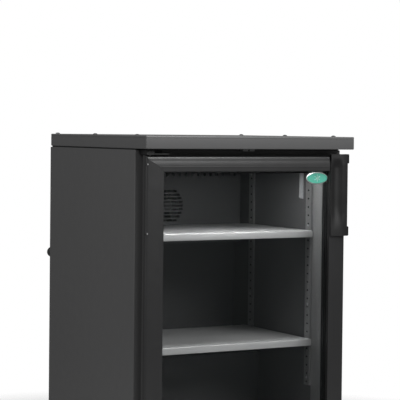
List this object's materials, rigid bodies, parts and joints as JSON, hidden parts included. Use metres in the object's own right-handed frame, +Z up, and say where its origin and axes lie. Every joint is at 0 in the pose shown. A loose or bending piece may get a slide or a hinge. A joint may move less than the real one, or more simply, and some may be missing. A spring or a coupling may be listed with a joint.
{
  "type": "undercounter refrigerator",
  "caption": "Undercounter display refrigerator with a worktop plate, a glazed swing door, lift-out shelves on slotted rails and a base-mounted cooling unit.",
  "frame": {"origin": "on the floor, under the middle of the overall box: half-way between the worktop's front edge and the tips of the wall spacers", "axes": "+X to the right seen from the front, +Y to the back, +Z up"},
  "size_m": [0.606, 0.598, 0.9033],
  "materials": {
    "cabinet_paint": "satin",
    "top_paint": "satin",
    "door_paint": "satin",
    "handle_plastic": "satin",
    "black_plastic": "matte",
    "light_plastic": "satin",
    "gasket_rubber": "matte",
    "foot_rubber": "matte",
    "clear_glass": "polished",
    "lamp_lens": "satin",
    "liner_sheet": "satin",
    "shelf_steel": "satin",
    "rail_steel": "satin",
    "bare_steel": "satin",
    "foam": "matte",
    "fin_aluminium": "satin",
    "compressor_paint": "satin",
    "badge_enamel": "gloss"
  },
  "bodies": {
    "cabinet": {"back_panel": "bare_steel", "base_grille": "black_plastic", "base_pan": "bare_steel", "breaker_frame": "black_plastic", "cable_gland": "black_plastic", "compressor": "compressor_paint", "condenser_coil": "fin_aluminium", "condenser_fan_frame": "black_plastic", "control_panel": "black_plastic", "drip_tray": "black_plastic", "evaporator_coil": "fin_aluminium", "evaporator_cover": "liner_sheet", "evaporator_fan_frame": "black_plastic", "foam_insulation": "foam", "hinge_bracket_bottom": "bare_steel", "hinge_bracket_top": "bare_steel", "inner_liner": "liner_sheet", "interior_lamp": "lamp_lens", "sensor_cover": "light_plastic", "shelf_clip_lower_front_left": "bare_steel", "shelf_clip_lower_front_right": "bare_steel", "shelf_clip_lower_rear_left": "bare_steel", "shelf_clip_lower_rear_right": "bare_steel", "shelf_clip_upper_front_left": "bare_steel", "shelf_clip_upper_front_right": "bare_steel", "shelf_clip_upper_rear_left": "bare_steel", "shelf_clip_upper_rear_right": "bare_steel", "shelf_rail_front_left": "rail_steel", "shelf_rail_front_right": "rail_steel", "shelf_rail_rear_left": "rail_steel", "shelf_rail_rear_right": "rail_steel", "side_panel_left": "cabinet_paint", "side_panel_right": "cabinet_paint", "top_deck": "cabinet_paint", "top_plate": "top_paint", "top_plug_front_left": "black_plastic", "top_plug_front_right": "black_plastic", "top_plug_middle_left": "black_plastic", "top_plug_middle_right": "black_plastic", "top_plug_rear_left": "black_plastic", "top_plug_rear_right": "black_plastic", "wall_spacer_left": "black_plastic", "wall_spacer_right": "black_plastic"},
    "door": {"door_frame": "door_paint", "door_glass_outer": "clear_glass", "door_glass_inner": "clear_glass", "glass_spacer": "black_plastic", "door_gasket": "gasket_rubber", "handle_grip": "handle_plastic", "door_badge": "badge_enamel"},
    "upper_shelf": {"shelf_upper": "shelf_steel"},
    "lower_shelf": {"shelf_lower": "shelf_steel"},
    "evaporator_rotor": {"evaporator_fan": "black_plastic"},
    "condenser_rotor": {"condenser_fan": "black_plastic"},
    "knob": {"thermostat_knob": "light_plastic"},
    "switch": {"lamp_switch": "light_plastic"},
    "foot_front_left_body": {"foot_front_left": "foot_rubber"},
    "foot_front_right_body": {"foot_front_right": "foot_rubber"},
    "foot_rear_left_body": {"foot_rear_left": "foot_rubber"},
    "foot_rear_right_body": {"foot_rear_right": "foot_rubber"}
  },
  "joints": [
    {"name": "door_swing", "type": "hinge", "parent": "cabinet", "child": "door", "pos_m": [-0.2785, -0.2705, 0.06], "axis": [0, 0, -1], "range_deg": [0, 110]},
    {"name": "upper_shelf_lift", "type": "slide", "parent": "cabinet", "child": "upper_shelf", "axis": [0, 0, 1], "range_m": [0, 0.03]},
    {"name": "lower_shelf_lift", "type": "slide", "parent": "cabinet", "child": "lower_shelf", "axis": [0, 0, 1], "range_m": [0, 0.03]},
    {"name": "evaporator_fan_spin", "type": "hinge", "parent": "cabinet", "child": "evaporator_rotor", "pos_m": [0, 0.163, 0.705], "axis": [0, 1, 0], "continuous": true},
    {"name": "condenser_fan_spin", "type": "hinge", "parent": "cabinet", "child": "condenser_rotor", "pos_m": [0.165, 0.19, 0.105], "axis": [1, 0, 0], "continuous": true},
    {"name": "thermostat_turn", "type": "hinge", "parent": "cabinet", "child": "knob", "pos_m": [0.198, -0.2623, 0.0335], "axis": [0, 1, 0], "range_deg": [0, 300]},
    {"name": "lamp_switch_rock", "type": "hinge", "parent": "cabinet", "child": "switch", "pos_m": [0.243, -0.2615, 0.0335], "axis": [1, 0, 0], "range_deg": [0, 14]},
    {"name": "foot_front_left_screw", "type": "slide", "parent": "cabinet", "child": "foot_front_left_body", "axis": [0, 0, -1], "range_m": [0, 0.018]},
    {"name": "foot_front_right_screw", "type": "slide", "parent": "cabinet", "child": "foot_front_right_body", "axis": [0, 0, -1], "range_m": [0, 0.018]},
    {"name": "foot_rear_left_screw", "type": "slide", "parent": "cabinet", "child": "foot_rear_left_body", "axis": [0, 0, -1], "range_m": [0, 0.018]},
    {"name": "foot_rear_right_screw", "type": "slide", "parent": "cabinet", "child": "foot_rear_right_body", "axis": [0, 0, -1], "range_m": [0, 0.018]}
  ]
}
